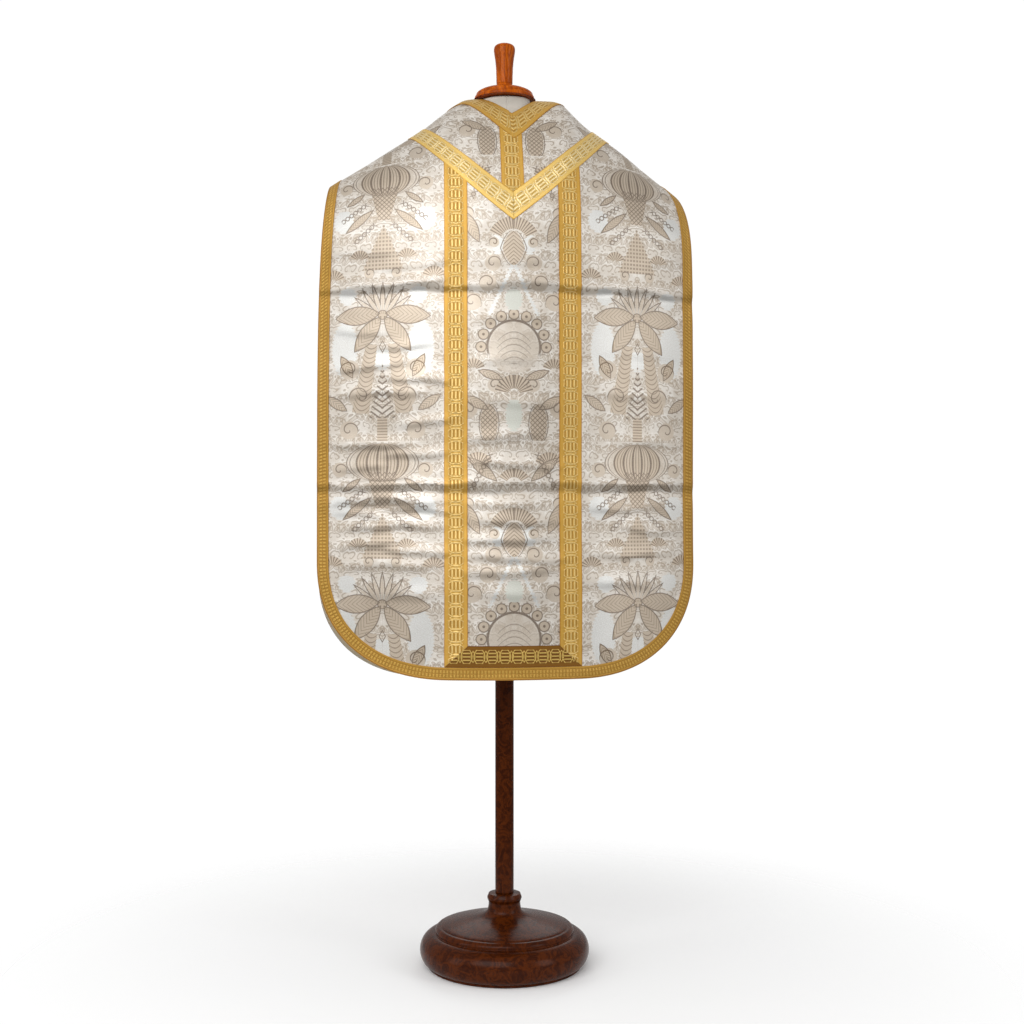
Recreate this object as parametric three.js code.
// A Roman chasuble, the stiff open-sided kind, hanging on a limbless dress form with a turned wooden foot.
// Millimetres, +Z up. The front faces -Y, the wearer's right is at -X. The origin is under the foot's centre.
//
// The cloth is described by two lengths: "across", measured sideways from its centre line at full width,
// and "girth", measured along the cloth from the shoulder ridge, down the front or down the back. Every
// piece of cloth and every galloon is a stretch of that one surface, so galloons lie on the panels at an
// even distance.

import * as THREE from "three";

// ---------------------------------------------------------------- driving dimensions

const CLOTH = {
  halfWidth: 340, // from the centre line to the side edge, seen from the front
  wall: 2, // brocade, interfacing and lining together
  gap: 0.3, // between pieces that meet
  hang: -0.5, // the cloth hangs this far off the form's centre line
  rowPower: 1.3, // above 1 sets the rows closer together near the shoulder
  sideRow: 8, // one row of faces this wide runs along each side edge
};

// The narrow galloon covers less at the sides, which slant away.
const GALLOON = { wide: 40, narrow: 22, narrowAtSides: 20.3, thickness: 1.1 };

// Depth is how far the cloth stands out from the ridge's plane, at the centre line and less at the sides.
// Drop is how far below the ridge the cloth has turned to hang straight down. Flare is how much further
// out the hem hangs, and it starts at a height and grows over a length.
const FRONT = {
  outward: -1,
  depth: 158,
  depthLoss: 108,
  drop: 330,
  dropLoss: 230,
  flare: 8,
  hemHeight: 541,
  rows: 28,
};
const BACK = {
  outward: 1,
  depth: 135,
  depthLoss: 88,
  drop: 200,
  dropLoss: 100,
  flare: 4,
  hemHeight: 516,
  rows: 28,
};

// How fast depth and drop are lost towards the sides.
const SIDE_POWER = { depth: 2, drop: 1.5 };
const FLARE = { start: 1200, length: 650 };

// The rounded lower corners: a superellipse this wide and tall.
const CORNER = { width: 230, height: 205, power: 2.3 };

// At the shoulder ridge the sides are drawn in by inset, which fades out over reach along the cloth.
const SHOULDER_INSET = {
  left: { inset: 25, reach: 110 },
  right: { inset: 35, reach: 40 },
};

// The neckline, a soft V in front and round behind: how far its two edges reach sideways at the shoulder
// ridge and down the cloth at the centre. The galloon fills the space between the edges.
const NECK = {
  center: 6,
  inner: { half: 70, front: 87, back: 64 },
  outer: { half: 121, front: 151, back: 104 },
  frontPower: 1.2,
  backPower: 2.2,
};

// The big V of the front: heights of its outer tip and inner notch, slopes of its edges, and the distance
// from the centre at which its lower edge crosses the shoulder ridge.
const YOKE = {
  tip: 1340,
  notch: 1390,
  lowerSlope: 0.754,
  upperSlope: 0.733,
  endLeft: 177,
  endRight: 189,
};

const COLUMN = { center: 100 };
const HEM_BAND = { height: 37 };

// Height of the shoulder ridge at a distance to each side of the form's centre.
const RIDGE = [
  { side: 0, left: 1586, right: 1584 },
  { side: 55, left: 1585, right: 1585 },
  { side: 75, left: 1582, right: 1585 },
  { side: 90, left: 1574, right: 1584 },
  { side: 106, left: 1563, right: 1578 },
  { side: 122, left: 1551, right: 1563 },
  { side: 140, left: 1536, right: 1546 },
  { side: 160, left: 1521, right: 1531 },
  { side: 207, left: 1491, right: 1500 },
  { side: 253, left: 1461, right: 1464 },
  { side: 300, left: 1432, right: 1429 },
  { side: 350, left: 1399, right: 1391 },
];

// Storage folds: soft troughs across the cloth at a height, tilted by rise from the middle to the side.
const FRONT_FOLDS = [
  { height: 1223, rise: -6, trough: 5, spread: 26 },
  { height: 877, rise: 3, trough: 5, spread: 26 },
  { height: 1050, rise: 10, trough: -4, spread: 90 },
  { height: 700, rise: -12, trough: -4, spread: 80 },
];
const BACK_FOLDS = [
  { height: 1240, rise: 5, trough: 5, spread: 26 },
  { height: 868, rise: -4, trough: 5, spread: 26 },
  { height: 1050, rise: -8, trough: -4, spread: 90 },
  { height: 690, rise: 10, trough: -4, spread: 80 },
];

// Dress form sections from the neck down: half width, depth in front and depth behind.
const FORM = [
  { height: 1588.5, half: 47, front: 47, back: 47 },
  { height: 1580, half: 48, front: 46, back: 47 },
  { height: 1569, half: 58, front: 42, back: 47 },
  { height: 1558, half: 90, front: 50, back: 51 },
  { height: 1544, half: 115, front: 59, back: 57 },
  { height: 1529, half: 136, front: 68, back: 65 },
  { height: 1513, half: 157, front: 76, back: 73 },
  { height: 1497, half: 181, front: 87, back: 81 },
  { height: 1480, half: 199, front: 97, back: 89 },
  { height: 1461, half: 208, front: 107, back: 97 },
  { height: 1428, half: 208, front: 120, back: 107 },
  { height: 1380, half: 200, front: 135, back: 117 },
  { height: 1320, half: 192, front: 142, back: 120 },
  { height: 1250, half: 182, front: 138, back: 115 },
  { height: 1170, half: 170, front: 126, back: 104 },
  { height: 1090, half: 165, front: 118, back: 98 },
  { height: 1000, half: 172, front: 116, back: 106 },
  { height: 910, half: 182, front: 112, back: 114 },
  { height: 840, half: 180, front: 106, back: 112 },
  { height: 800, half: 170, front: 98, back: 104 },
  { height: 790, half: 158, front: 88, back: 94 },
];
const FORM_SIDES = 32;
const FORM_SQUARENESS = 2.3;

// Turned pieces: radius and height along each outline, from the axis round to the axis.
const CAP_OUTLINE = [
  [0, 1588.8],
  [53, 1588.8],
  [55, 1591],
  [55, 1595],
  [53, 1599.5],
  [48.5, 1604],
  [40, 1608],
  [28, 1610.6],
  [16, 1611.7],
  [0, 1611.7],
];
const FINIAL_OUTLINE = [
  [0, 1612],
  [14.6, 1612],
  [14.8, 1627],
  [15.6, 1647],
  [17.3, 1665],
  [19.2, 1677],
  [19.6, 1683],
  [18.4, 1688],
  [14.5, 1691.5],
  [8, 1693.4],
  [0, 1694],
];
const BASE_OUTLINE = [
  [0, 0],
  [128, 0],
  [141, 4],
  [150, 12],
  [155, 25],
  [154.5, 38],
  [149, 50],
  [139, 58],
  [129, 61],
  [126, 64],
  [122, 71],
  [108, 76],
  [80, 83],
  [50, 90],
  [34, 97],
  [30, 106],
  [30, 128],
  [26, 132],
  [0, 132],
];
const TURNED_SIDES = { cap: 40, finial: 24, base: 48, pole: 24 };
const POLE_RADIUS = 17;

// ---------------------------------------------------------------- the cloth's surface

const lerp = (from, to, part) => from + (to - from) * part;

// Smooth height of the ridge at x, by a cubic through the table's rows.
function ridgeHeight(x) {
  const column = x < 0 ? "left" : "right";
  const distance = Math.min(Math.abs(x), RIDGE.at(-1).side - 0.001);
  const index = RIDGE.findIndex((row) => row.side > distance) - 1;
  const row = (offset) => RIDGE[Math.min(Math.max(index + offset, 0), RIDGE.length - 1)];
  const slope = (offset) => {
    const before = row(offset - 1);
    const after = row(offset + 1);
    return (after[column] - before[column]) / (after.side - before.side);
  };
  const span = row(1).side - row(0).side;
  const t = (distance - row(0).side) / span;
  const ease = t * t * (3 - 2 * t);
  const leave = t * (1 - t) * (1 - t) * span;
  const arrive = t * t * (1 - t) * span;
  return lerp(row(0)[column], row(1)[column], ease) + slope(0) * leave - slope(1) * arrive;
}

// The upright section through the cloth at x: a quarter ellipse from the ridge, then straight down.
const ARC_STEPS = 48;
function sectionAt(panel, x) {
  const outwards = Math.min(Math.abs(x) / CLOTH.halfWidth, 1.05);
  const depth = panel.depth - panel.depthLoss * outwards ** SIDE_POWER.depth;
  const drop = panel.drop - panel.dropLoss * outwards ** SIDE_POWER.drop;
  const lengths = [0];
  for (let step = 1; step <= ARC_STEPS; step += 1) {
    const angle = ((step - 0.5) / ARC_STEPS) * (Math.PI / 2);
    const stretch = Math.hypot(depth * Math.cos(angle), drop * Math.sin(angle));
    lengths.push(lengths.at(-1) + (stretch * Math.PI) / 2 / ARC_STEPS);
  }
  return { ridge: ridgeHeight(x), depth, drop, lengths, arc: lengths.at(-1) };
}

function pointOnSection(section, girth) {
  const { ridge, depth, drop, lengths, arc } = section;
  if (girth >= arc) return { out: depth, height: ridge - drop - (girth - arc) };
  const step = lengths.findIndex((length) => length > girth) - 1;
  const part = (girth - lengths[step]) / (lengths[step + 1] - lengths[step]);
  const angle = ((step + part) / ARC_STEPS) * (Math.PI / 2);
  return { out: depth * Math.sin(angle), height: ridge - drop * (1 - Math.cos(angle)) };
}

function foldDepth(folds, across, height) {
  return folds.reduce((sum, fold) => {
    const center = fold.height + (fold.rise * across) / CLOTH.halfWidth;
    return sum + fold.trough * Math.exp(-(((height - center) / fold.spread) ** 2));
  }, 0);
}

// Where the hem runs: straight in the middle, with rounded corners.
function hemHeight(panel, across) {
  const sideways = Math.max(Math.abs(across) - (CLOTH.halfWidth - CORNER.width), 0) / CORNER.width;
  const rise = 1 - (1 - Math.min(sideways, 1) ** CORNER.power) ** (1 / CORNER.power);
  return panel.hemHeight + CORNER.height * rise;
}

// The middle of the cloth's wall at a place on it.
function skin(panel, across, girth) {
  const { inset, reach } = across < 0 ? SHOULDER_INSET.left : SHOULDER_INSET.right;
  const width = CLOTH.halfWidth - inset * Math.exp(-girth / reach);
  const x = (across / CLOTH.halfWidth) * width + CLOTH.hang;
  const { out, height } = pointOnSection(sectionAt(panel, x), girth);
  const low = Math.min(Math.max((FLARE.start - height) / FLARE.length, 0), 1);
  const folds = panel === FRONT ? FRONT_FOLDS : BACK_FOLDS;
  const y = panel.outward * (out + panel.flare * low ** 2 - foldDepth(folds, across, height));
  return new THREE.Vector3(x, y, height);
}

// A place on the cloth, with the direction that points out of it, worked out over a short reach.
function place(panel, across, girth) {
  const reach = 1.5;
  const before = Math.max(girth - reach, 0);
  const downwards = skin(panel, across, girth + reach).sub(skin(panel, across, before));
  const sideways = skin(panel, across + reach, girth).sub(skin(panel, across - reach, girth));
  const normal = downwards.cross(sideways).multiplyScalar(-panel.outward).normalize();
  return { across, girth, point: skin(panel, across, girth), normal };
}

// ---------------------------------------------------------------- panels as grids of places

// Columns of the grid: stations across the cloth, each with how many cells it is from the next one.
const columnEdge = GALLOON.wide / 2;
const edgeInside = CLOTH.halfWidth - GALLOON.narrowAtSides;
const besideEdge = CLOTH.halfWidth - CLOTH.sideRow;
const STATIONS = [
  { across: -CLOTH.halfWidth, cells: 1 },
  { across: -besideEdge, cells: 1 },
  { across: -edgeInside, cells: 5 },
  { across: -COLUMN.center - columnEdge, cells: 1 },
  { across: -COLUMN.center + columnEdge, cells: 1 },
  { across: NECK.center - NECK.inner.half, cells: 2 },
  { across: -columnEdge, cells: 1 },
  { across: NECK.center, cells: 1 },
  { across: columnEdge, cells: 2 },
  { across: NECK.center + NECK.inner.half, cells: 1 },
  { across: COLUMN.center - columnEdge, cells: 1 },
  { across: COLUMN.center + columnEdge, cells: 5 },
  { across: edgeInside, cells: 1 },
  { across: besideEdge, cells: 1 },
  { across: CLOTH.halfWidth, cells: 0 },
];

function columnsAcross() {
  return STATIONS.flatMap(({ across, cells }, index) =>
    Array.from({ length: cells || 1 }, (_, cell) =>
      cells ? lerp(across, STATIONS[index + 1].across, cell / cells) : across,
    ),
  );
}

// Girth of the neckline's inner or outer edge.
function neckEdge(panel, edge, across) {
  const sideways = Math.min(Math.abs(across - NECK.center) / edge.half, 1);
  if (panel === FRONT) return edge.front * (1 - sideways ** NECK.frontPower);
  return edge.back * (1 - sideways ** NECK.backPower) ** (1 / NECK.backPower);
}

// Girth at which the cloth begins: on the neckline, or at the shoulder seam on the ridge.
const clothTop = (panel, across) => Math.max(neckEdge(panel, NECK.inner, across), CLOTH.gap / 2);

function girthAtHem(panel, across) {
  const section = sectionAt(panel, across + CLOTH.hang);
  return section.arc + section.ridge - section.drop - hemHeight(panel, across);
}

function panelGrid(panel) {
  const columns = columnsAcross().map((across) => {
    const top = clothTop(panel, across);
    const bottom = girthAtHem(panel, across);
    return Array.from({ length: panel.rows + 1 }, (_, row) =>
      place(panel, across, lerp(top, bottom, (row / panel.rows) ** CLOTH.rowPower)),
    );
  });
  const faces = [];
  for (let column = 0; column + 1 < columns.length; column += 1) {
    for (let row = 0; row < panel.rows; row += 1) {
      const [topLeft, topRight] = [columns[column][row], columns[column + 1][row]];
      const [lowLeft, lowRight] = [columns[column][row + 1], columns[column + 1][row + 1]];
      faces.push([topLeft, lowLeft, lowRight], [topLeft, lowRight, topRight]);
    }
  }
  return panel === FRONT ? faces : faces.map((face) => face.toReversed());
}

// ---------------------------------------------------------------- galloons cut from the panels' faces

const SNAP = 0.05;

function between(first, second, part) {
  return {
    across: lerp(first.across, second.across, part),
    girth: lerp(first.girth, second.girth, part),
    point: first.point.clone().lerp(second.point, part),
    normal: first.normal.clone().lerp(second.normal, part),
  };
}

// Keeps the side of each face on which measure, a length that is linear over the face, is above zero.
function trim(faces, measure) {
  const rounded = (spot) => {
    const value = measure(spot);
    return Math.abs(value) < SNAP ? 0 : value;
  };
  return faces.flatMap((face) => {
    const kept = [];
    face.forEach((spot, index) => {
      const next = face[(index + 1) % face.length];
      const here = rounded(spot);
      const there = rounded(next);
      if (here >= 0) kept.push(spot);
      if (here * there < 0) kept.push(between(spot, next, here / (here - there)));
    });
    const inside = face.some((spot) => rounded(spot) > 0);
    return inside && kept.length > 2 ? [kept] : [];
  });
}

const cutFrom = (faces, measures) => measures.reduce(trim, faces);

// Closes faces into a wall that reaches from one height above the cloth's middle to another.
function wallSolid(faces, low, high) {
  const spots = [];
  const found = new Map();
  const numberOf = (spot) => {
    const key = spot.point.toArray().map((value) => Math.round(value * 1000)).join();
    if (!found.has(key)) found.set(key, spots.push(spot) - 1);
    return found.get(key);
  };
  const numbered = faces.map((face) => face.map(numberOf));
  const edges = new Set();
  const around = (face) => face.map((spot, index) => [spot, face[(index + 1) % face.length]]);
  numbered.forEach((face) => around(face).forEach((edge) => edges.add(edge.join())));
  const count = spots.length;
  const index = [];
  numbered.forEach((face) => {
    for (let corner = 1; corner + 1 < face.length; corner += 1) {
      const [a, b, c] = [face[0], face[corner], face[corner + 1]];
      index.push(a, b, c, a + count, c + count, b + count);
    }
    around(face)
      .filter(([from, to]) => !edges.has([to, from].join()))
      .forEach(([from, to]) => {
        index.push(from, from + count, to + count, from, to + count, to);
      });
  });
  const raised = (height) => spots.flatMap(({ point, normal }) =>
    point.clone().addScaledVector(normal, height).toArray(),
  );
  const geometry = new THREE.BufferGeometry();
  geometry.setAttribute(
    "position",
    new THREE.Float32BufferAttribute([...raised(high), ...raised(low)], 3),
  );
  geometry.setIndex(index);
  geometry.computeVertexNormals();
  return geometry;
}

// Distance inside the neck galloon's outer edge, from one that is measured down the cloth.
const NECK_SLANT = 0.7;
function insideNeckBand(panel, spot) {
  return (neckEdge(panel, NECK.outer, spot.across) - spot.girth) * NECK_SLANT;
}

// Heights of the big V's two edges above a place, so that a positive number is below the edge.
function belowYoke(spot, side, edge) {
  const end = side < 0 ? YOKE.endLeft : YOKE.endRight;
  const bend = (ridgeHeight(side * end) - YOKE.tip - YOKE.lowerSlope * end) / end ** 2;
  const distance = side * (spot.point.x - CLOTH.hang);
  const [start, slope] =
    edge === "lower" ? [YOKE.tip, YOKE.lowerSlope] : [YOKE.notch, YOKE.upperSlope];
  return start + slope * distance + bend * distance ** 2 - spot.point.z;
}

// How far a place lies outside the narrow galloon's inner edge, towards the cloth's own edge.
function pastEdgeGalloon(panel, spot) {
  const cornerTop = panel.hemHeight + CORNER.height;
  const sideways = Math.max(Math.abs(spot.across) - (CLOTH.halfWidth - CORNER.width), 0);
  const downwards = Math.max(cornerTop - spot.point.z, 0);
  const inner = {
    width: edgeInside - (CLOTH.halfWidth - CORNER.width),
    height: CORNER.height - GALLOON.narrow,
  };
  const sum = (sideways / inner.width) ** CORNER.power + (downwards / inner.height) ** CORNER.power;
  return (sum ** (1 / CORNER.power) - 1) * inner.height;
}

// Height of the mitre between an upright galloon and the hem's, at a distance across.
function mitreHeight(panel, across) {
  const lower = panel.hemHeight + GALLOON.narrow + CLOTH.gap;
  const outwards = (Math.abs(across) - (COLUMN.center - columnEdge)) / GALLOON.wide;
  return lower + HEM_BAND.height * (1 - outwards);
}

const halfGap = CLOTH.gap / 2;

function neckGalloon(side) {
  return [
    (spot) => side * (spot.across - NECK.center) - halfGap,
    (spot) => insideNeckBand(FRONT, spot),
  ];
}

const centerGalloon = [
  (spot) => columnEdge - spot.across,
  (spot) => columnEdge + spot.across,
  (spot) => -insideNeckBand(FRONT, spot) - CLOTH.gap,
  (spot) => -belowYoke(spot, -1, "upper") - CLOTH.gap,
  (spot) => -belowYoke(spot, 1, "upper") - CLOTH.gap,
];

function yokeGalloon(side) {
  return [
    (spot) => side * (spot.point.x - CLOTH.hang) - halfGap,
    (spot) => -belowYoke(spot, side, "lower"),
    (spot) => belowYoke(spot, side, "upper"),
  ];
}

function uprightGalloon(panel, side) {
  const head = panel === FRONT
    ? (spot) => belowYoke(spot, side, "lower") - CLOTH.gap
    : (spot) => -insideNeckBand(BACK, spot) - CLOTH.gap;
  return [
    (spot) => side * spot.across - (COLUMN.center - columnEdge),
    (spot) => COLUMN.center + columnEdge - side * spot.across,
    head,
    (spot) => spot.point.z - mitreHeight(panel, spot.across) - halfGap,
  ];
}

function hemGalloon(panel) {
  const top = mitreHeight(panel, COLUMN.center - columnEdge);
  return [
    (spot) => COLUMN.center + columnEdge - Math.abs(spot.across),
    (spot) => top - spot.point.z,
    (spot) => mitreHeight(panel, spot.across) - halfGap - spot.point.z,
    (spot) => -pastEdgeGalloon(panel, spot) - CLOTH.gap,
  ];
}

const edgeGalloon = (panel) => [(spot) => pastEdgeGalloon(panel, spot)];

// ---------------------------------------------------------------- the form and its stand

function torsoGeometry() {
  const ring = ({ height, half, front, back }) =>
    Array.from({ length: FORM_SIDES }, (_, side) => {
      const angle = (side / FORM_SIDES) * Math.PI * 2;
      const bulge = (value) => Math.sign(value) * Math.abs(value) ** (2 / FORM_SQUARENESS);
      const depth = Math.sin(angle) < 0 ? front : back;
      return [half * bulge(Math.cos(angle)), depth * bulge(Math.sin(angle)), height];
    });
  const positions = FORM.flatMap((row) => ring(row).flat());
  const index = [];
  for (let level = 0; level + 1 < FORM.length; level += 1) {
    for (let side = 0; side < FORM_SIDES; side += 1) {
      const next = (side + 1) % FORM_SIDES;
      const [high, low] = [level * FORM_SIDES, (level + 1) * FORM_SIDES];
      index.push(high + side, low + side, low + next, high + side, low + next, high + next);
    }
  }
  const last = (FORM.length - 1) * FORM_SIDES;
  for (let side = 1; side + 1 < FORM_SIDES; side += 1) {
    index.push(0, side, side + 1, last, last + side + 1, last + side);
  }
  const geometry = new THREE.BufferGeometry();
  geometry.setAttribute("position", new THREE.Float32BufferAttribute(positions, 3));
  geometry.setIndex(index);
  geometry.computeVertexNormals();
  return geometry;
}

function turned(outline, sides) {
  const points = outline.map(([radius, height]) => new THREE.Vector2(radius, height));
  return new THREE.LatheGeometry(points, sides).rotateX(Math.PI / 2);
}

function poleGeometry() {
  const bottom = BASE_OUTLINE.at(-1)[1] + CLOTH.gap;
  const top = FORM.at(-1).height - CLOTH.gap;
  return new THREE.CylinderGeometry(POLE_RADIUS, POLE_RADIUS, top - bottom, TURNED_SIDES.pole)
    .rotateX(Math.PI / 2)
    .translate(0, 0, (top + bottom) / 2);
}

// ---------------------------------------------------------------- the scene

const MATERIALS = {
  brocade: { color: 0xd9d3c8, roughness: 0.45, metalness: 0.2 },
  galloon: { color: 0xd6a63c, roughness: 0.4, metalness: 0.6 },
  jersey: { color: 0xc2bbae, roughness: 0.9, metalness: 0 },
  lightWood: { color: 0xa8501e, roughness: 0.35, metalness: 0 },
  darkWood: { color: 0x4a2416, roughness: 0.3, metalness: 0 },
};

const group = new THREE.Group();
function add(name, geometry, material) {
  const mesh = new THREE.Mesh(geometry, new THREE.MeshStandardMaterial(MATERIALS[material]));
  mesh.name = name;
  group.add(mesh);
}

const grids = { front: panelGrid(FRONT), back: panelGrid(BACK) };
const halfWall = CLOTH.wall / 2;
add("front_panel", wallSolid(grids.front, -halfWall, halfWall), "brocade");
add("back_panel", wallSolid(grids.back, -halfWall, halfWall), "brocade");

function addGalloon(name, faces, measures) {
  const low = halfWall + CLOTH.gap;
  const cut = cutFrom(faces, measures);
  add(name, wallSolid(cut, low, low + GALLOON.thickness), "galloon");
}

for (const [side, word] of [[-1, "left"], [1, "right"]]) {
  addGalloon(`neck_galloon_${word}`, grids.front, neckGalloon(side));
  addGalloon(`yoke_galloon_${word}`, grids.front, yokeGalloon(side));
  addGalloon(`front_column_${word}`, grids.front, uprightGalloon(FRONT, side));
  addGalloon(`back_column_${word}`, grids.back, uprightGalloon(BACK, side));
}
addGalloon("neck_galloon_back", grids.back, [(spot) => insideNeckBand(BACK, spot)]);
addGalloon("center_galloon", grids.front, centerGalloon);
addGalloon("front_hem_galloon", grids.front, hemGalloon(FRONT));
addGalloon("back_hem_galloon", grids.back, hemGalloon(BACK));
addGalloon("front_edge_galloon", grids.front, edgeGalloon(FRONT));
addGalloon("back_edge_galloon", grids.back, edgeGalloon(BACK));

add("form_torso", torsoGeometry(), "jersey");
add("neck_cap", turned(CAP_OUTLINE, TURNED_SIDES.cap), "lightWood");
add("finial", turned(FINIAL_OUTLINE, TURNED_SIDES.finial), "lightWood");
add("pole", poleGeometry(), "darkWood");
add("base", turned(BASE_OUTLINE, TURNED_SIDES.base), "darkWood");

export default group;
